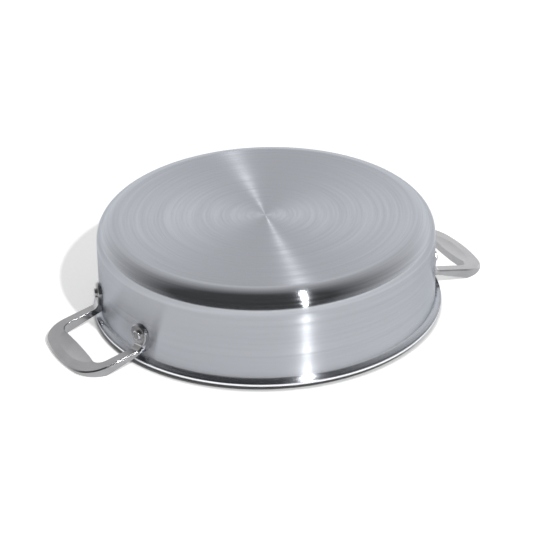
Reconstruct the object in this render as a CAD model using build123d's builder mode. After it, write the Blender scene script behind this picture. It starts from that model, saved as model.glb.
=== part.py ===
from build123d import *
from math import cos, radians, sin, sqrt
import os

# A clad steel braiser, lying upside down as it does when it is put away.
# It stands on the ends of its two loop handles, with its base facing up.
# The pan's axis is Z, the handles lie along X, and Z = 0 is the surface that they stand on.
# All lengths are in millimetres and all angles in degrees.

# Pan
rim_radius = 158.75           # to the outer edge of the pouring lip
pan_height = 86.4             # from the plane of the rim to the base
base_corner_radius = 18.3     # outside radius between wall and base
lip_bend_radius = 4.6         # outside radius where the wall turns out into the lip
lip_flat = 0.95               # level stretch between that bend and the lip's edge
lip_edge_bulge = 0.35         # how far the polished edge of the lip stands out in its middle
outer_steel_thickness = 0.5
core_thickness = 1.6
inner_steel_thickness = 0.5

# Handle, seen from above
rim_lift = 4.8                # the handles hold the rim this far above the surface
handle_length = 57.0          # from the wall to the end of the handle
arm_width = 10.0
handle_corner_radius = 26.0
handle_end_bow = 9.4          # how far the end of the handle bulges between its corners
opening_corner_radius = 8.6
grip_width = 20.7             # from the end of the handle to the corners of the opening
grip_inner_bow = 2.6          # how far the grip swells into the opening

# Handle, seen from the side
face_rise = 11.8              # from the plane of the rim up to the handle's face, at the wall
tip_height = 3.25             # height of that face above the surface, at the end of the handle
arm_depth_at_wall = 4.2
foot_length = 27.5            # the flat under the grip that rests on the surface
shoulder_height = 12.2        # from the plane of the rim to where the arm widens into its pad
underside_round = 1.9         # round edge under the outside of the handle
face_chamfer = 1.1            # bright chamfer round the outside of the face
opening_chamfer = 0.4
dish_length = 62.0            # shallow dish for the thumb, at the grip's inner edge
dish_width = 25.0
dish_depth = 1.3

# Pads and rivets
pad_thickness = 3.0
pad_radius = 9.6
pad_foot_width = 6.8          # where the pad's sides leave the arm, low down
pad_foot_height = 1.0
pad_bend_radius = 6.0         # hollow corner between the pad and the arm
pad_chamfer = 0.8
heel_radius = 8.0             # round corner under the pad, next to the wall
heel_inset = 0.4              # how far behind the wall's surface that corner would end
rivet_angle = 16.5            # from the middle of the handle to each rivet
rivet_height = 25.6           # from the plane of the rim
rivet_shank_radius = 3.2
rivet_head_radius = 4.6
rivet_head_height = 2.6
rivet_head_round = 1.1
inner_head_radius = 6.2
inner_head_height = 1.7
inner_head_round = 0.9

overrun = 20.0                # how far cutting tools run past what they cut
tolerance = 0.01              # for finding edges and faces by their place

# Worked out from the values above
wall_radius = rim_radius - lip_flat - lip_bend_radius
sheet_thickness = outer_steel_thickness + core_thickness + inner_steel_thickness
base_height = rim_lift + pan_height
lip_top = rim_lift + sheet_thickness
bend_top = lip_top + lip_bend_radius
rivet_level = rim_lift + rivet_height
inner_wall_radius = wall_radius - sheet_thickness
standing = (Align.CENTER, Align.CENTER, Align.MIN)
lip_edge_radius = ((sheet_thickness / 2) ** 2 + lip_edge_bulge ** 2) / (2 * lip_edge_bulge)


def radial_plane(angle):
    """The plane across the line that runs from the pan's axis through a rivet."""
    outward = (cos(radians(angle)), sin(radians(angle)), 0)
    sideways = (-sin(radians(angle)), cos(radians(angle)), 0)
    return Plane(origin=(0, 0, rivet_level), x_dir=sideways, z_dir=outward)


rivet_angles = {
    "rivet_right_rear": rivet_angle,
    "rivet_left_rear": 180 - rivet_angle,
    "rivet_left_front": 180 + rivet_angle,
    "rivet_right_front": -rivet_angle,
}
rivet_planes = [radial_plane(angle) for angle in rivet_angles.values()]


# The three bonded layers of the pan

def lip_edge_reach(depth):
    """Radius of the bulging lip edge, at a depth below the pan's outer surface."""
    from_middle = sheet_thickness / 2 - depth
    return rim_radius - lip_edge_radius + sqrt(lip_edge_radius ** 2 - from_middle ** 2)


def surface_line(depth):
    """Half section of the pan's surface at a depth below its outside, from axis to lip."""
    corner_start = wall_radius - base_corner_radius
    bend_centre = wall_radius + lip_bend_radius
    base = Line((0, base_height - depth), (corner_start, base_height - depth))
    corner = CenterArc((corner_start, base_height - base_corner_radius), base_corner_radius - depth, 90, -90)
    wall = Line(corner @ 1, (wall_radius - depth, bend_top))
    bend = CenterArc((bend_centre, bend_top), lip_bend_radius + depth, 180, 90)
    Line(bend @ 1, (lip_edge_reach(depth), lip_top - depth))
    return base @ 0, (lip_edge_reach(depth), lip_top - depth)


def pan_layer(outer_depth, inner_depth):
    """One layer of the sheet, turned round the axis, with its rivet holes."""
    with BuildPart() as layer:
        with BuildSketch(Plane.XZ):
            with BuildLine():
                outer_start, outer_end = surface_line(outer_depth)
                inner_start, inner_end = surface_line(inner_depth)
                middle_depth = (outer_depth + inner_depth) / 2
                edge_middle = (lip_edge_reach(middle_depth), lip_top - middle_depth)
                ThreePointArc(outer_end, edge_middle, inner_end)
                Line(outer_start, inner_start)
            make_face()
        revolve(axis=Axis.Z)
        with BuildSketch(*rivet_planes):
            Circle(rivet_shank_radius)
        extrude(amount=rim_radius, mode=Mode.SUBTRACT)
    return layer


core_depth = outer_steel_thickness
inner_steel_depth = outer_steel_thickness + core_thickness
pan_layers = {
    "outer_steel_layer": pan_layer(0, core_depth),
    "aluminium_core": pan_layer(core_depth, inner_steel_depth),
    "inner_steel_layer": pan_layer(inner_steel_depth, sheet_thickness),
}


# The loop handle, made once on the +X side

arm_middle = (wall_radius + pad_thickness) * sin(radians(rivet_angle))
opening_half_width = arm_middle - arm_width / 2
handle_half_width = arm_middle + arm_width / 2
pads_half_width = arm_middle + pad_radius * cos(radians(rivet_angle))
handle_reach = wall_radius + handle_length
opening_reach = handle_reach - grip_width
face_height = rim_lift + face_rise
droop_slope = (face_height - tip_height) / handle_length
heel_back = sqrt(wall_radius ** 2 - pads_half_width ** 2) - heel_inset
heel_level = face_height + (wall_radius - heel_back) * droop_slope - arm_depth_at_wall
shoulder_level = rim_lift + shoulder_height
pad_foot_level = shoulder_level - rivet_level
foot_start = handle_reach - foot_length
pad_front = wall_radius + pad_thickness
wheel_centre = (dish_length / 2) ** 2 / (2 * dish_depth) - dish_depth
tread_rise = 3 * dish_depth
handle_pad_planes = [radial_plane(angle) for angle in (rivet_angle, -rivet_angle)]


def face_level(x):
    """Height of the handle's drooping face at a distance from the pan's axis."""
    return face_height - (x - wall_radius) * droop_slope


def underside_level(x):
    """Height of the handle's underside at a distance from the pan's axis."""
    return max(0, heel_level * (foot_start - x) / (foot_start - heel_back))


def pad_front_x(y):
    """Where the flat front of a pad crosses a line at a distance from the handle's middle."""
    return (pad_front - y * sin(radians(rivet_angle))) / cos(radians(rivet_angle))


def is_bend_edge(edge):
    """True for the two corners between a pad's front and the handle's face."""
    middle = edge.center()
    in_front = abs(middle.X - pad_front_x(abs(middle.Y))) < tolerance
    return in_front and abs(middle.Z - face_level(middle.X)) < tolerance


def is_face_edge(edge):
    """True for the edges of the handle's face, out beyond the bends."""
    middle = edge.center()
    return middle.X > pad_front and abs(middle.Z - face_level(middle.X)) < tolerance


def is_opening_edge(edge):
    """True for the face's edges round the opening for the fingers."""
    middle = edge.center()
    beside = abs(middle.Y) < opening_half_width + tolerance and middle.X < opening_reach + tolerance
    return is_face_edge(edge) and beside


def is_outer_edge(edge):
    """True for the face's edges round the outside of the handle."""
    return is_face_edge(edge) and not is_opening_edge(edge) and abs(edge.center().Y) > arm_middle


def is_end_edge(edge):
    """True for the face's edge at the end of the handle."""
    return is_face_edge(edge) and edge.center().X > handle_reach - handle_end_bow


def is_underside_edge(edge):
    """True for the edges round the outside of the underside, out beyond the pads."""
    middle = edge.center()
    outside = abs(middle.Y) > arm_middle or middle.X > opening_reach
    return middle.X > pad_front and outside and abs(middle.Z - underside_level(middle.X)) < tolerance


def is_pad_front_edge(edge):
    """True for the edges round the flat fronts of the pads, but for the low ones inside the arms."""
    places = [plane.to_local_coords(edge.center()) for plane in handle_pad_planes]
    return any(abs(place.Z - pad_front) < tolerance and place.Y > pad_foot_level for place in places)


with BuildSketch(Plane.XY) as opening:
    with BuildLine():
        grip_middle = opening_reach - grip_inner_bow
        lower_side = Line((0, -opening_half_width), (opening_reach, -opening_half_width))
        ThreePointArc(lower_side @ 1, (grip_middle, 0), (opening_reach, opening_half_width))
        Line((opening_reach, opening_half_width), (0, opening_half_width))
        Line((0, opening_half_width), (0, -opening_half_width))
    make_face()
    fillet(opening.vertices().group_by(Axis.X)[-1], opening_corner_radius)

with BuildPart() as pads:
    with BuildSketch(*handle_pad_planes):
        Circle(pad_radius)
        with Locations((0, pad_foot_level)):
            Rectangle(pad_foot_width, pad_foot_height)
        make_hull()
    extrude(amount=pad_front)
    chamfer(pads.edges().filter_by(is_pad_front_edge), pad_chamfer)

with BuildPart() as handle:
    # Its side view: the drooping face and the end
    with BuildSketch(Plane.XZ):
        with BuildLine():
            Polyline(
                (wall_radius - overrun, face_level(wall_radius - overrun)),
                (handle_reach, face_level(handle_reach)),
                (handle_reach, 0),
                (wall_radius - overrun, 0),
                close=True,
            )
        make_face()
    extrude(amount=handle_half_width, both=True)

    # Its outline from above, round the opening for the fingers
    with BuildSketch(Plane.XY) as outline:
        with BuildLine():
            corner_x = handle_reach - handle_end_bow
            lower_side = Line((0, -handle_half_width), (corner_x, -handle_half_width))
            ThreePointArc(lower_side @ 1, (handle_reach, 0), (corner_x, handle_half_width))
            Line((corner_x, handle_half_width), (0, handle_half_width))
            Line((0, handle_half_width), (0, -handle_half_width))
        make_face()
        fillet(outline.vertices().group_by(Axis.X)[-1], handle_corner_radius)
        add(opening.sketch, mode=Mode.SUBTRACT)
    extrude(amount=base_height, mode=Mode.INTERSECT)

    # Each arm turns up in front of the wall, with a hollow bend
    with BuildSketch(Plane.XY):
        with BuildLine():
            Polyline(
                (heel_back, opening_half_width),
                (pad_front_x(opening_half_width), opening_half_width),
                (pad_front_x(handle_half_width), handle_half_width),
                (heel_back, handle_half_width),
                close=True,
            )
        make_face()
        mirror(about=Plane.XZ)
    extrude(amount=rivet_level)
    fillet(handle.edges().filter_by(is_bend_edge), pad_bend_radius)

    # Bright chamfer round the outside of the face and up the bends, a finer one round the opening
    chamfer(handle.edges().filter_by(is_outer_edge) + handle.edges().filter_by(is_end_edge), face_chamfer)
    chamfer(handle.edges().filter_by(is_opening_edge), opening_chamfer)

    # It ends against the wall in two round pads
    add(pads.part)
    Cylinder(wall_radius, base_height, align=standing, mode=Mode.SUBTRACT)

    # Its underside: the flat that it rests on, and the round heel at the wall
    with BuildSketch(Plane.XZ) as side_view:
        with BuildLine():
            Polyline(
                (handle_reach, base_height),
                (handle_reach, 0),
                (foot_start, 0),
                (heel_back, heel_level),
                (heel_back, base_height),
                close=True,
            )
        make_face()
        heel = side_view.vertices().sort_by_distance((heel_back, 0, heel_level))[0]
        fillet(heel, heel_radius)
    extrude(amount=rim_radius, both=True, mode=Mode.INTERSECT)

    fillet(handle.edges().filter_by(is_underside_edge), underside_round)

    # Shallow dish for the thumb, rolled into the grip at its inner edge
    dish_centre = (opening_reach, 0, face_level(opening_reach))
    dish_plane = Plane(origin=dish_centre, x_dir=(1, 0, -droop_slope), z_dir=(0, -1, 0))
    with BuildSketch(dish_plane):
        with BuildLine():
            tread = ThreePointArc((-dish_width, tread_rise), (0, -dish_depth), (dish_width, tread_rise))
            Polyline(tread @ 1, (dish_width, wheel_centre), (-dish_width, wheel_centre), tread @ 0)
        make_face()
    wheel_axis = Axis(dish_plane.from_local_coords((0, wheel_centre, 0)), dish_plane.x_dir)
    revolve(axis=wheel_axis, mode=Mode.SUBTRACT)

    # Rivet holes
    with BuildSketch(*handle_pad_planes):
        Circle(rivet_shank_radius)
    extrude(amount=rim_radius + overrun, mode=Mode.SUBTRACT)

with BuildPart() as handle_left:
    add(handle.part, rotation=(0, 0, 180))


# The four rivets

def rivet(plane):
    """A low head inside the pan, a shank through the wall and pad, and a button head outside."""
    with BuildPart() as piece:
        with BuildSketch(plane.offset(inner_wall_radius - inner_head_height)):
            Circle(inner_head_radius)
        extrude(amount=inner_head_height + sheet_thickness)
        inside_face = piece.faces().sort_by(Axis(plane.origin, plane.z_dir))[0]
        fillet(inside_face.edges(), inner_head_round)
        Cylinder(inner_wall_radius, base_height, align=standing, mode=Mode.INTERSECT)
        with BuildSketch(plane.offset(inner_wall_radius - inner_head_height)):
            Circle(rivet_shank_radius)
        extrude(amount=inner_head_height + sheet_thickness + pad_thickness)
        with BuildSketch(plane.offset(pad_front)):
            Circle(rivet_head_radius)
        extrude(amount=rivet_head_height)
        outside_face = piece.faces().sort_by(Axis(plane.origin, plane.z_dir))[-1]
        fillet(outside_face.edges(), rivet_head_round)
    return piece


rivets = {name: rivet(radial_plane(angle)) for name, angle in rivet_angles.items()}


os.makedirs("parts", exist_ok=True)
pieces = {**pan_layers, "handle_right": handle, "handle_left": handle_left, **rivets}
for name, piece in pieces.items():
    piece.part.label = name
    export_step(piece.part, f"parts/{name}.step")
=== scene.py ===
# %% [markdown]
# # An upturned braiser in brushed and polished steel
# A braiser is a wide, low pan. This one is stored upside down: it stands on the ends of its two
# loop handles, with its brushed base facing up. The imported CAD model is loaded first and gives
# every place and size, so each finer piece made here lands exactly where the CAD piece is.

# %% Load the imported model
from math import asin, cos, pi, radians, sin, sqrt, tau

import bmesh
import bpy
from mathutils import Matrix, Vector


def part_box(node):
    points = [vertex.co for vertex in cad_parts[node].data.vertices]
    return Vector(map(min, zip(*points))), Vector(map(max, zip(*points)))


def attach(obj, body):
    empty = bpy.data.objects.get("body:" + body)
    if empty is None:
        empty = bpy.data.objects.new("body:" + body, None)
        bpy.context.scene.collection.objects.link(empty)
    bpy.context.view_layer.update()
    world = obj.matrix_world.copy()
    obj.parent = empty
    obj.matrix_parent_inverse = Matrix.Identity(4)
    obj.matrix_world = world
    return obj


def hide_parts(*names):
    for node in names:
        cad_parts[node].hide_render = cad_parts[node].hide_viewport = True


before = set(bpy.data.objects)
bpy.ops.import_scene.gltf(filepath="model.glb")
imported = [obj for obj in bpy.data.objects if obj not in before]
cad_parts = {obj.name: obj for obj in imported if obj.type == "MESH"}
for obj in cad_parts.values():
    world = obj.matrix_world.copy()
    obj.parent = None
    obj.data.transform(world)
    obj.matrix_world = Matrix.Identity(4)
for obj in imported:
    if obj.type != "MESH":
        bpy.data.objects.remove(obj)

MM = 0.001
WHITE = (1, 1, 1, 1)
scene = bpy.context.scene
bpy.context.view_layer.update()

# %% [markdown]
# ## Sizes
# Most sizes are read from the CAD nodes' boxes. The few that a box can't give, such as the bend
# under the rim, are written here once, in millimetres.

# %% Sizes of the sheet
outer_low, outer_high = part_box("outer_steel_layer")
core_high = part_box("aluminium_core")[1]
inner_low, inner_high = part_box("inner_steel_layer")
base_height = outer_high.z
rim_plane = inner_low.z
rim_radius = core_high.x
lip_bend_radius = 4.6 * MM
lip_flat = 0.95 * MM
lip_edge_bulge = 0.35 * MM
base_corner_radius = 18.3 * MM
wall_radius = rim_radius - lip_flat - lip_bend_radius
outer_thickness = outer_high.z - core_high.z
core_thickness = core_high.z - inner_high.z
sheet_thickness = outer_low.z - rim_plane + outer_thickness
print("wall radius", round(wall_radius / MM, 2), "sheet", round(sheet_thickness / MM, 2), "mm")

# %% [markdown]
# ## Camera
# The photograph was taken with a long lens from above and to the left of the front. The place,
# tilt and focal length were fitted to the outlines of the pan, so the picture's edges agree.

# %% The camera at the photograph's viewing angle
photo_side = 533
focal_pixels = 2929.25
sensor_width = 36.0
camera_azimuth = radians(-116.22)
camera_elevation = radians(28.30)
camera_roll = radians(-1.52)
camera_distance = 2.6651
aim_point = Vector((-0.00017, 0.00008, 0.0381))


def way_to(azimuth, elevation):
    """A unit vector from the pan to a place in the studio."""
    return Vector((cos(elevation) * cos(azimuth), cos(elevation) * sin(azimuth), sin(elevation)))


back = way_to(camera_azimuth, camera_elevation)
level_right = Vector((0, 0, 1)).cross(back).normalized()
level_up = back.cross(level_right)
right = cos(camera_roll) * level_right + sin(camera_roll) * level_up
up = cos(camera_roll) * level_up - sin(camera_roll) * level_right

camera_data = bpy.data.cameras.new("photo_camera")
camera_data.sensor_width = sensor_width
camera_data.lens = sensor_width * focal_pixels / photo_side
camera_data.clip_end = 50
camera = bpy.data.objects.new("photo_camera", camera_data)
scene.collection.objects.link(camera)
camera_turn = Matrix((right, up, back)).transposed().to_4x4()
camera.matrix_world = Matrix.Translation(aim_point + camera_distance * back) @ camera_turn
scene.camera = camera
print("lens", round(camera_data.lens, 1), "mm")

# %% [markdown]
# ## Small helpers for node trees
# Every material here is a tree of nodes. A few helpers keep the code short: they add a node with
# its values and links, do arithmetic, change a range, and start an empty material or group.

# %% Node helpers
def add_node(tree, kind, inputs=(), **settings):
    """Adds a node, sets its properties, and sets or links its inputs."""
    node = tree.nodes.new(kind)
    for name, value in settings.items():
        setattr(node, name, value)
    for key, value in dict(inputs).items():
        if isinstance(value, bpy.types.NodeSocket):
            tree.links.new(value, node.inputs[key])
        else:
            node.inputs[key].default_value = value
    return node


def math(tree, operation, *values):
    """A Math node on up to three values or sockets, as its output."""
    return add_node(tree, "ShaderNodeMath", dict(enumerate(values)), operation=operation).outputs[0]


def remap(tree, value, from_low, from_high, to_low, to_high, curve="SMOOTHSTEP"):
    """A clamped change of range, smooth unless curve says otherwise, as its output."""
    sockets = ("Value", "From Min", "From Max", "To Min", "To Max")
    inputs = dict(zip(sockets, (value, from_low, from_high, to_low, to_high)))
    return add_node(tree, "ShaderNodeMapRange", inputs, interpolation_type=curve).outputs["Result"]


def new_material(name):
    """An empty node material, with its output node."""
    material = bpy.data.materials.new(name)
    material.use_nodes = True
    material.node_tree.nodes.clear()
    return material, material.node_tree, material.node_tree.nodes.new("ShaderNodeOutputMaterial")


def new_group(name, inputs, outputs):
    """An empty shader node group with named sockets: {name: default} in, {name: kind} out."""
    tree = bpy.data.node_groups.new(name, "ShaderNodeTree")
    for socket_name, default in inputs.items():
        kind = "NodeSocketColor" if isinstance(default, tuple) else "NodeSocketFloat"
        tree.interface.new_socket(socket_name, in_out="INPUT", socket_type=kind).default_value = default
    for socket_name, kind in outputs.items():
        tree.interface.new_socket(socket_name, in_out="OUTPUT", socket_type=kind)
    return tree, tree.nodes.new("NodeGroupInput"), tree.nodes.new("NodeGroupOutput")

# %% [markdown]
# ## Grain that runs round the pan
# The base and the wall were brushed while the pan spun, so the scratches run round its axis.
# The group turns a place into (direction round the axis, distance along the section), which has
# no seam. Noise that is stretched along the first and fine along the second gives scratches.
# A third output marks the rounded corner of the base, which has a finer finish.

# %% Shader group: turned_grain
turned_grain, group_in, group_out = new_group(
    "turned_grain",
    {"Fine Rings": 450.0, "Broad Rings": 90.0, "Streak Length": 0.7},
    {"Fine": "NodeSocketFloat", "Broad": "NodeSocketFloat", "Corner": "NodeSocketFloat"},
)
place = add_node(turned_grain, "ShaderNodeTexCoord").outputs["Object"]
parts = add_node(turned_grain, "ShaderNodeSeparateXYZ", {0: place}).outputs
squares = [math(turned_grain, "MULTIPLY", part, part) for part in (parts[0], parts[1])]
radius = math(turned_grain, "SQRT", math(turned_grain, "ADD", *squares))
safe_radius = math(turned_grain, "MAXIMUM", radius, 0.5 * MM)
east = math(turned_grain, "DIVIDE", parts[0], safe_radius)
north = math(turned_grain, "DIVIDE", parts[1], safe_radius)
along_section = math(turned_grain, "SUBTRACT", radius, parts[2])


def turned_noise(rings, streaks, detail):
    """Noise with rings per metre along the section, stretched round the axis."""
    spot = add_node(turned_grain, "ShaderNodeCombineXYZ", {
        0: math(turned_grain, "MULTIPLY", east, streaks),
        1: math(turned_grain, "MULTIPLY", north, streaks),
        2: math(turned_grain, "MULTIPLY", along_section, rings),
    })
    inputs = {"Vector": spot.outputs[0], "Scale": 1.0, "Detail": detail, "Roughness": 0.6}
    return add_node(turned_grain, "ShaderNodeTexNoise", inputs).outputs["Fac"]


fine = turned_noise(group_in.outputs["Fine Rings"], group_in.outputs["Streak Length"], 4.0)
broad = turned_noise(group_in.outputs["Broad Rings"], 0.5, 3.0)
flat_radius = wall_radius - base_corner_radius
past_base = remap(turned_grain, radius, flat_radius - 2 * MM, flat_radius + 3 * MM, 0.0, 1.0)
fade_start = base_height - 1.3 * base_corner_radius
fade_end = base_height - 0.8 * base_corner_radius
above_wall = remap(turned_grain, parts[2], fade_start, fade_end, 0.0, 1.0)
corner = math(turned_grain, "MULTIPLY", past_base, above_wall)
for name, value in (("Fine", fine), ("Broad", broad), ("Corner", corner)):
    turned_grain.links.new(value, group_out.inputs[name])
print("group", turned_grain.name, "has", len(turned_grain.nodes), "nodes")

# %% [markdown]
# ## Grain of the handles and rivets
# The handles are cast and then tumbled to a satin: very fine dimples with no direction, and a
# slow change of tone over the piece.

# %% Shader group: tumbled_satin
tumbled_satin, group_in, group_out = new_group(
    "tumbled_satin",
    {"Dimples": 2600.0, "Patches": 60.0},
    {"Fine": "NodeSocketFloat", "Patch": "NodeSocketFloat"},
)
place = add_node(tumbled_satin, "ShaderNodeTexCoord").outputs["Object"]
for source, target, detail in (("Dimples", "Fine", 2.0), ("Patches", "Patch", 4.0)):
    inputs = {"Vector": place, "Scale": group_in.outputs[source], "Detail": detail}
    noise = add_node(tumbled_satin, "ShaderNodeTexNoise", inputs)
    tumbled_satin.links.new(noise.outputs["Fac"], group_out.inputs[target])
print("group", tumbled_satin.name, "has", len(tumbled_satin.nodes), "nodes")

# %% [markdown]
# ## The metals
# All of them are the Principled BSDF at full metallic. The turned ones are anisotropic: their
# highlight is drawn out across the scratches, which gives the bright line over the base.

# %% Metal materials
broad_share = 0.4
turned_range = (0.3, 0.7)
satin_range = (0.35, 0.65)


def tone_ramp(tree, fac, dark, light):
    """A colour between dark and light."""
    mix = add_node(tree, "ShaderNodeMix", {"Factor": fac}, data_type="RGBA")
    mix.inputs["A"].default_value = (*dark, 1)
    mix.inputs["B"].default_value = (*light, 1)
    return mix.outputs["Result"]


def turned_metal(name, dark, light, roughness, corner_roughness, spread, anisotropy, grain_height):
    """Metal that was brushed while it spun round the pan's axis."""
    material, tree, output = new_material(name)
    grain = add_node(tree, "ShaderNodeGroup", node_tree=turned_grain)
    broad_part = math(tree, "MULTIPLY", grain.outputs["Broad"], broad_share)
    fine_part = math(tree, "MULTIPLY", grain.outputs["Fine"], 1 - broad_share)
    tone = math(tree, "ADD", broad_part, fine_part)
    finish = remap(tree, grain.outputs["Corner"], 0.0, 1.0, roughness, corner_roughness)
    relief = {"Height": grain.outputs["Fine"], "Strength": 1.0, "Distance": grain_height}
    bump = add_node(tree, "ShaderNodeBump", relief)
    tangent = add_node(tree, "ShaderNodeTangent", direction_type="RADIAL", axis="Z")
    shader = add_node(tree, "ShaderNodeBsdfPrincipled", {
        "Base Color": tone_ramp(tree, remap(tree, tone, *turned_range, 0.0, 1.0), dark, light),
        "Roughness": math(tree, "ADD", remap(tree, tone, *turned_range, -spread, spread), finish),
        "Metallic": 1.0,
        "Specular Tint": (0.75, 0.77, 0.80, 1),
        "Anisotropic": anisotropy,
        "Anisotropic Rotation": 0.25,
        "Normal": bump.outputs[0],
        "Tangent": tangent.outputs[0],
    })
    tree.links.new(shader.outputs[0], output.inputs["Surface"])
    return material


def satin_metal(name, dark, light, roughness, spread, grain_height):
    """Metal with a satin that has no direction."""
    material, tree, output = new_material(name)
    grain = add_node(tree, "ShaderNodeGroup", node_tree=tumbled_satin)
    patch = grain.outputs["Patch"]
    relief = {"Height": grain.outputs["Fine"], "Strength": 0.3, "Distance": grain_height}
    bump = add_node(tree, "ShaderNodeBump", relief)
    shader = add_node(tree, "ShaderNodeBsdfPrincipled", {
        "Base Color": tone_ramp(tree, remap(tree, patch, *satin_range, 0.0, 1.0), dark, light),
        "Roughness": remap(tree, patch, *satin_range, roughness - spread, roughness + spread),
        "Metallic": 1.0,
        "Normal": bump.outputs[0],
    })
    tree.links.new(shader.outputs[0], output.inputs["Surface"])
    return material


outer_steel = turned_metal(
    "outer_steel_brushed", dark=(0.395, 0.41, 0.44), light=(0.485, 0.50, 0.535),
    roughness=0.24, corner_roughness=0.11, spread=0.03, anisotropy=1.0, grain_height=0.03 * MM,
)
inner_steel = turned_metal(
    "inner_steel_brushed", dark=(0.42, 0.43, 0.45), light=(0.50, 0.51, 0.53),
    roughness=0.40, corner_roughness=0.40, spread=0.04, anisotropy=0.8, grain_height=0.03 * MM,
)
# The steel's cut edge is polished and also painted near white as a highlight, far brighter than the
# same steel elsewhere.
rim_steel_painted_highlight = turned_metal(
    "rim_edge_polished_painted_highlight", dark=(0.84, 0.85, 0.87), light=(0.92, 0.93, 0.95),
    roughness=0.12, corner_roughness=0.12, spread=0.03, anisotropy=0.0, grain_height=0.001 * MM,
)
rim_aluminium = turned_metal(
    "rim_core_polished", dark=(0.86, 0.87, 0.89), light=(0.94, 0.95, 0.97),
    roughness=0.15, corner_roughness=0.15, spread=0.03, anisotropy=0.0, grain_height=0.001 * MM,
)
handle_satin = satin_metal(
    "handle_satin", dark=(0.36, 0.36, 0.37), light=(0.39, 0.39, 0.40),
    roughness=0.25, spread=0.015, grain_height=0.005 * MM,
)
handle_edge = satin_metal(
    "handle_edge_polished", dark=(0.44, 0.44, 0.45), light=(0.52, 0.52, 0.53),
    roughness=0.10, spread=0.03, grain_height=0.004 * MM,
)
rivet_polish = satin_metal(
    "rivet_polished", dark=(0.52, 0.52, 0.53), light=(0.60, 0.60, 0.61),
    roughness=0.12, spread=0.03, grain_height=0.004 * MM,
)
print("metals:", [m.name for m in bpy.data.materials])

# %% [markdown]
# ## The pan's sheet, turned round its axis
# A spun or pressed pan is the same section all the way round, so Geometry Nodes turn a line into
# a shell. Each layer's section is a closed line of points from the axis to the lip and back. The
# tree lays a grid of points, looks each one up on the section, and turns it to its own angle.

# %% Half section of one layer of the sheet
flat_steps, corner_steps, wall_steps, bend_steps, edge_steps = 8, 24, 6, 14, 6


def arc_points(centre, radius, start, turn, steps):
    """Points on an arc in the (radius, height) plane, from start through turn, in radians."""
    angles = [start + turn * i / steps for i in range(steps + 1)]
    return [(centre[0] + radius * cos(a), centre[1] + radius * sin(a)) for a in angles]


def even_points(start, end, steps):
    """Evenly spaced points from start up to but not onto end."""
    (r, z), (r_end, z_end) = start, end
    return [(r + (r_end - r) * i / steps, z + (z_end - z) * i / steps) for i in range(steps)]


def lip_edge_reach(depth):
    """Radius of the bulging, cut edge of the lip at a depth below the outer surface."""
    edge_radius = ((sheet_thickness / 2) ** 2 + lip_edge_bulge ** 2) / (2 * lip_edge_bulge)
    return rim_radius - edge_radius + sqrt(edge_radius ** 2 - (sheet_thickness / 2 - depth) ** 2)


def surface_points(depth):
    """The surface at a depth below the outside of the sheet, from the axis to the lip."""
    corner = (wall_radius - base_corner_radius, base_height - base_corner_radius)
    lip_top = rim_plane + sheet_thickness
    bend = (wall_radius + lip_bend_radius, lip_top + lip_bend_radius)
    top = base_height - depth
    points = even_points((0, top), (corner[0], top), flat_steps)
    points += arc_points(corner, base_corner_radius - depth, pi / 2, -pi / 2, corner_steps)
    wall = wall_radius - depth
    points += even_points((wall, corner[1]), (wall, bend[1]), wall_steps)[1:]
    points += arc_points(bend, lip_bend_radius + depth, pi, pi / 2, bend_steps)
    return points + [(lip_edge_reach(depth), lip_top - depth)]


def layer_section(outer_depth, inner_depth):
    """A layer's closed half section, and the place in it where the cut edge starts."""
    lip_top = rim_plane + sheet_thickness
    thickness = inner_depth - outer_depth
    depths = [outer_depth + thickness * i / edge_steps for i in range(1, edge_steps)]
    edge = [(lip_edge_reach(depth), lip_top - depth) for depth in depths]
    outside = surface_points(outer_depth)
    return outside + edge + surface_points(inner_depth)[::-1], len(outside) - 1

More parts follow.
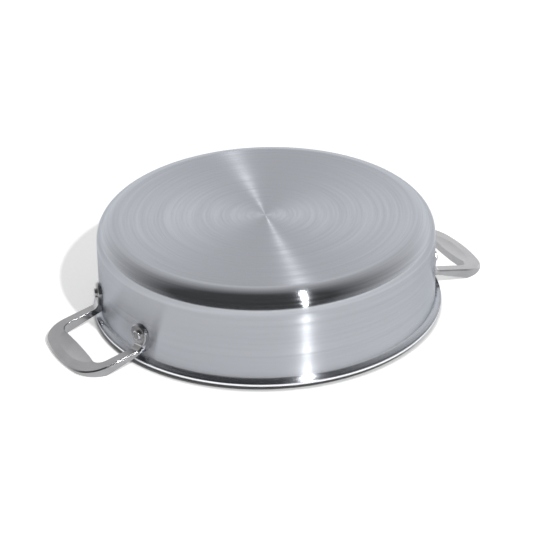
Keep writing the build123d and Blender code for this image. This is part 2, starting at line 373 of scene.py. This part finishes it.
# %% Geometry Nodes: turned_shell
def turned_shell_tree():
    """Turns a closed section, given as loose points, round Z."""
    tree = bpy.data.node_groups.new("turned_shell", "GeometryNodeTree")
    sockets = tree.interface
    sockets.new_socket("Geometry", in_out="INPUT", socket_type="NodeSocketGeometry")
    segments = sockets.new_socket("Segments", in_out="INPUT", socket_type="NodeSocketInt")
    segments.default_value = 288
    sockets.new_socket("Material", in_out="INPUT", socket_type="NodeSocketMaterial")
    sockets.new_socket("Geometry", in_out="OUTPUT", socket_type="NodeSocketGeometry")
    group_in = tree.nodes.new("NodeGroupInput").outputs
    group_out = tree.nodes.new("NodeGroupOutput")
    sizes = add_node(tree, "GeometryNodeAttributeDomainSize", {"Geometry": group_in["Geometry"]})
    count = sizes.outputs["Point Count"]
    columns = math(tree, "ADD", count, 1)
    rows = math(tree, "ADD", group_in["Segments"], 1)
    grid = add_node(tree, "GeometryNodeMeshGrid", {"Vertices X": columns, "Vertices Y": rows})
    index = add_node(tree, "GeometryNodeInputIndex").outputs[0]
    column = math(tree, "FLOOR", math(tree, "DIVIDE", math(tree, "ADD", index, 0.5), rows))
    row = math(tree, "SUBTRACT", index, math(tree, "MULTIPLY", column, rows))
    section_index = math(tree, "MODULO", column, count)
    on_section = add_node(tree, "GeometryNodeSampleIndex", {
        "Geometry": group_in["Geometry"],
        "Value": add_node(tree, "GeometryNodeInputPosition").outputs[0],
        "Index": section_index,
    }, data_type="FLOAT_VECTOR")
    angle = math(tree, "MULTIPLY", math(tree, "DIVIDE", row, group_in["Segments"]), tau)
    turning = {"Vector": on_section.outputs[0], "Angle": angle}
    turned = add_node(tree, "ShaderNodeVectorRotate", turning, rotation_type="Z_AXIS")
    placing = {"Geometry": grid.outputs["Mesh"], "Position": turned.outputs[0]}
    placed = add_node(tree, "GeometryNodeSetPosition", placing)
    merging = {"Geometry": placed.outputs[0], "Distance": 0.002 * MM}
    closed = add_node(tree, "GeometryNodeMergeByDistance", merging)
    smooth = add_node(tree, "GeometryNodeSetShadeSmooth", {"Geometry": closed.outputs[0]})
    real = add_node(tree, "GeometryNodeRealizeInstances", {"Geometry": smooth.outputs[0]})
    dressing = {"Geometry": real.outputs[0], "Material": group_in["Material"]}
    finished = add_node(tree, "GeometryNodeSetMaterial", dressing)
    tree.links.new(finished.outputs[0], group_out.inputs["Geometry"])
    return tree


turned_shell = turned_shell_tree()

# %% [markdown]
# A modifier's inputs are set by the identifiers of its sockets. The evaluated result is copied to
# a plain mesh, so nothing live is left on the piece. Its signed volume shows whether its faces
# point outwards.

# %% From a node tree to a plain mesh
def baked_from_tree(name, source_mesh, tree, values):
    """Runs a Geometry Nodes tree on a mesh and returns an object with the plain result."""
    carrier = bpy.data.objects.new(name + "_source", source_mesh)
    scene.collection.objects.link(carrier)
    modifier = carrier.modifiers.new("nodes", "NODES")
    modifier.node_group = tree
    for item in tree.interface.items_tree:
        if item.item_type == "SOCKET" and item.in_out == "INPUT" and item.name in values:
            modifier[item.identifier] = values[item.name]
    evaluated = carrier.evaluated_get(bpy.context.evaluated_depsgraph_get())
    mesh = bpy.data.meshes.new_from_object(evaluated)
    bpy.data.objects.remove(carrier)
    mesh.name = name
    piece = bpy.data.objects.new(name, mesh)
    scene.collection.objects.link(piece)
    return piece


def face_outwards(mesh):
    """Turns a closed mesh's faces outwards. Returns its volume and its count of open edges."""
    work = bmesh.new()
    work.from_mesh(mesh)
    volume = work.calc_volume(signed=True)
    if volume < 0:
        bmesh.ops.reverse_faces(work, faces=work.faces)
        work.to_mesh(mesh)
    open_edges = sum(len(edge.link_faces) != 2 for edge in work.edges)
    work.free()
    return abs(volume), open_edges


def points_mesh(name, section):
    """Loose points in the XZ plane, for the tree to look up."""
    mesh = bpy.data.meshes.new(name)
    mesh.from_pydata([(r, 0, z) for r, z in section], [], [])
    return mesh

# %% The three layers
edge_margin = 0.01 * MM
sharp_over = radians(40)


def make_layer(node, outer_depth, inner_depth, surface_material, edge_material):
    """One layer of the sheet, with its cut edge in its own polished material, which on the steel layers
    is also painted bright as a highlight.
    """
    section, edge_start = layer_section(outer_depth, inner_depth)
    source = points_mesh(node, section)
    values = {"Material": surface_material}
    piece = baked_from_tree(node + "_turned", source, turned_shell, values)
    volume, open_edges = face_outwards(piece.data)
    piece.data.materials.append(edge_material)
    edge_top = section[edge_start]
    edge_bottom = section[edge_start + edge_steps]
    edge_radius = min(edge_top[0], edge_bottom[0]) - edge_margin
    for face in piece.data.polygons:
        at_edge = Vector(face.center).xy.length > edge_radius
        if at_edge and edge_bottom[1] < face.center.z < edge_top[1] and abs(face.normal.z) < 0.9:
            face.material_index = 1
    piece.data.set_sharp_from_angle(angle=sharp_over)
    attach(piece, "root")
    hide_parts(node)
    print(node, len(piece.data.polygons), "faces, open edges", open_edges)
    print("  volume", round(volume * 1e6, 1), "cm3")


core_depth = outer_thickness
inner_depth = outer_thickness + core_thickness
make_layer("outer_steel_layer", 0, core_depth, outer_steel, rim_steel_painted_highlight)
make_layer("aluminium_core", core_depth, inner_depth, rim_aluminium, rim_aluminium)
make_layer("inner_steel_layer", inner_depth, sheet_thickness, inner_steel, rim_steel_painted_highlight)

# %% [markdown]
# ## The handles
# The CAD gives each handle's true shape, with hard edges. A real one is tumbled, so its edges are
# a little round. A copy of the CAD mesh is merged, its flat faces are joined again, and a Bevel
# modifier rounds what is left of the hard edges.

# %% Softened copies of the handles
edge_softness = 0.45 * MM
merge_distance = 0.003 * MM
flat_within = radians(0.1)
bevel_over = radians(28)
chamfer_slopes = (0.30, 0.93)


def take_modifiers(piece):
    """Makes the result of a piece's modifiers its own plain mesh."""
    evaluated = piece.evaluated_get(bpy.context.evaluated_depsgraph_get())
    piece.data = bpy.data.meshes.new_from_object(evaluated)
    piece.modifiers.clear()


def soften_handle(node):
    """Replaces a handle with a copy of its CAD mesh whose hard edges are rounded."""
    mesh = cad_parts[node].data.copy()
    mesh.name = node + "_softened"
    if "custom_normal" in mesh.attributes:
        mesh.attributes.remove(mesh.attributes["custom_normal"])
    work = bmesh.new()
    work.from_mesh(mesh)
    bmesh.ops.remove_doubles(work, verts=work.verts, dist=merge_distance)
    bmesh.ops.dissolve_limit(work, angle_limit=flat_within, verts=work.verts, edges=work.edges)
    work.to_mesh(mesh)
    work.free()
    mesh.materials.clear()
    mesh.materials.append(handle_satin)
    mesh.materials.append(handle_edge)
    mesh.shade_smooth()
    piece = bpy.data.objects.new(node + "_softened", mesh)
    scene.collection.objects.link(piece)
    bevel = piece.modifiers.new("softening", "BEVEL")
    bevel.width = edge_softness
    bevel.segments = 3
    bevel.limit_method = "ANGLE"
    bevel.angle_limit = bevel_over
    bevel.material = 1
    take_modifiers(piece)
    for face in piece.data.polygons:
        if chamfer_slopes[0] < face.normal.z < chamfer_slopes[1]:
            face.material_index = 1
    piece.data.set_sharp_from_angle(angle=sharp_over)
    piece.modifiers.new("even_shading", "WEIGHTED_NORMAL").keep_sharp = True
    take_modifiers(piece)
    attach(piece, "root")
    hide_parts(node)
    print(node, len(piece.data.polygons), "faces")


for node in ("handle_left", "handle_right"):
    soften_handle(node)

# %% [markdown]
# ## The rivets
# The CAD rivets are round already, so they stay and only get their finish.

# %% Finish on the rivets
for node in ("rivet_left_front", "rivet_left_rear", "rivet_right_front", "rivet_right_rear"):
    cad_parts[node].data.materials.clear()
    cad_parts[node].data.materials.append(rivet_polish)

# %% [markdown]
# ## Floor, background and light
# The object stands on a plain white floor. One small lamp stands to the right of the camera and
# throws the shadow behind the pan's left side. Reflections don't see the lamp. They see a narrow
# strip light, which gives the bright line over the brushed steel, and a world that is dark in
# front of and over the pan, which draws the dark band along the base's rounded corner.
#
# The floor is white paper that also glows a little for the camera and for reflections. The glow starts
# just outside the pan's foot, so the paper stays white round the pan and still keeps the lamp's shadow.
# Inside that ring the paper has no glow, which paints a dark line of shade under the rim on top of the
# real contact shadow. A second glow starts further out, where the lamp's light falls off.

# %% White floor
floor_half = 4.0
shade_end, white_start = 0.1565, 0.1615
distant_start, distant_end = 0.40, 1.00
near_glow, distant_glow = 0.48, 0.35
mirrored_share = 0.70

floor_signs = ((-1, -1), (1, -1), (1, 1), (-1, 1))
floor_corners = [(floor_half * x, floor_half * y, 0) for x, y in floor_signs]
floor_mesh = bpy.data.meshes.new("floor")
floor_mesh.from_pydata(floor_corners, [], [(0, 1, 2, 3)])
floor = bpy.data.objects.new("floor", floor_mesh)
scene.collection.objects.link(floor)

floor_material, tree, output = new_material("floor_paper")
paper = add_node(tree, "ShaderNodeBsdfDiffuse", {"Color": (0.9, 0.9, 0.9, 1)})
place = add_node(tree, "ShaderNodeTexCoord").outputs["Object"]
length = add_node(tree, "ShaderNodeVectorMath", {0: place}, operation="LENGTH")
distance = length.outputs["Value"]
rays = add_node(tree, "ShaderNodeLightPath").outputs
mirrored = math(tree, "MAXIMUM", rays["Is Glossy Ray"], rays["Is Transmission Ray"])
mirrored = math(tree, "MULTIPLY", mirrored, mirrored_share)
seen = math(tree, "MAXIMUM", rays["Is Camera Ray"], mirrored)
# No glow inside shade_end: painted shade, a dark ring on the floor under the rim.
past_shade = remap(tree, distance, shade_end, white_start, 0.0, 1.0)
glow_near = math(tree, "MULTIPLY", past_shade, near_glow)
glow_distant = remap(tree, distance, distant_start, distant_end, 0.0, distant_glow)
glow_strength = math(tree, "MULTIPLY", math(tree, "ADD", glow_near, glow_distant), seen)
glow = add_node(tree, "ShaderNodeEmission", {"Color": WHITE, "Strength": glow_strength})
both = add_node(tree, "ShaderNodeAddShader", {0: paper.outputs[0], 1: glow.outputs[0]})
tree.links.new(both.outputs[0], output.inputs["Surface"])
floor_mesh.materials.append(floor_material)
print("floor of", 2 * floor_half, "m")

# %% World, bright behind the pan and dark in front of and over it
diffuse_strength = 0.33
bright_strength, dark_strength = 1.20, 0.09
bright_closeness, dark_closeness = -0.60, 0.66
dark_azimuth = camera_azimuth - radians(12)
dark_elevation = radians(35)

world = bpy.data.worlds.new("studio")
scene.world = world
world.use_nodes = True
tree = world.node_tree
tree.nodes.clear()
direction = add_node(tree, "ShaderNodeTexCoord").outputs["Generated"]
ways = {0: direction, 1: way_to(dark_azimuth, dark_elevation)}
closeness = add_node(tree, "ShaderNodeVectorMath", ways, operation="DOT_PRODUCT").outputs["Value"]
reflected = remap(
    tree, closeness, bright_closeness, dark_closeness, bright_strength, dark_strength, curve="LINEAR"
)
rays = add_node(tree, "ShaderNodeLightPath").outputs
mirrored = math(tree, "MAXIMUM", rays["Is Glossy Ray"], rays["Is Transmission Ray"])
strength = math(tree, "ADD", rays["Is Camera Ray"], math(tree, "MULTIPLY", mirrored, reflected))
diffuse = math(tree, "MULTIPLY", rays["Is Diffuse Ray"], diffuse_strength)
strength = math(tree, "MAXIMUM", strength, diffuse)
white = add_node(tree, "ShaderNodeBackground", {"Color": WHITE, "Strength": strength})
world_output = tree.nodes.new("ShaderNodeOutputWorld")
tree.links.new(white.outputs[0], world_output.inputs["Surface"])
print("world has", len(tree.nodes), "nodes")

# %% Key lamp, to the right of the camera
lamp_azimuth = radians(-88.7)
lamp_elevation = radians(46.5)
lamp_distance = 3.0
lamp_way = way_to(lamp_azimuth, lamp_elevation)
lamp_data = bpy.data.lights.new("key", "AREA")
lamp_data.shape = "DISK"
lamp_data.size = 0.12
lamp_data.energy = 54
lamp = bpy.data.objects.new("key", lamp_data)
scene.collection.objects.link(lamp)
lamp_turn = lamp_way.to_track_quat("Z", "Y").to_matrix().to_4x4()
lamp.matrix_world = Matrix.Translation(lamp_distance * lamp_way) @ lamp_turn
lamp.visible_glossy = False
print("lamp at", lamp_distance, "m")

# %% [markdown]
# The strip is bent. At each height it stands where scratches under the bright line would mirror
# it into the camera, so the line over the base, the corner and the wall comes out straight.

# %% Narrow strip light, for the bright line over the brushed steel
line_azimuth = radians(-103.7)
strip_radius = 5.9
strip_half_width = radians(0.4)
strip_low, strip_high = radians(6), radians(77)
strip_steps = 40
strip_strength = 180.0
sideways_reach = sin(line_azimuth - camera_azimuth) * cos(camera_elevation)
strip_points = []
for step in range(strip_steps + 1):
    elevation = strip_low + (strip_high - strip_low) * step / strip_steps
    middle = line_azimuth + asin(sideways_reach / cos(elevation))
    for side in (-1, 1):
        azimuth = middle + side * strip_half_width / cos(elevation)
        strip_points.append(strip_radius * way_to(azimuth, elevation))
strip_faces = [(2 * i, 2 * i + 1, 2 * i + 3, 2 * i + 2) for i in range(strip_steps)]
strip_mesh = bpy.data.meshes.new("strip_light")
strip_mesh.from_pydata(strip_points, [], strip_faces)
strip_material, tree, output = new_material("strip_glow")
strip_glow = add_node(tree, "ShaderNodeEmission", {"Color": WHITE, "Strength": strip_strength})
tree.links.new(strip_glow.outputs[0], output.inputs["Surface"])
strip_mesh.materials.append(strip_material)
strip = bpy.data.objects.new("strip_light", strip_mesh)
scene.collection.objects.link(strip)
for ray_kind in ("camera", "diffuse", "transmission", "shadow"):
    setattr(strip, "visible_" + ray_kind, False)
print("strip of", len(strip_faces), "faces")

# %% [markdown]
# ## Finish
# The picture settings are the plain ones.

# %% Picture settings
scene.view_settings.view_transform = "Standard"
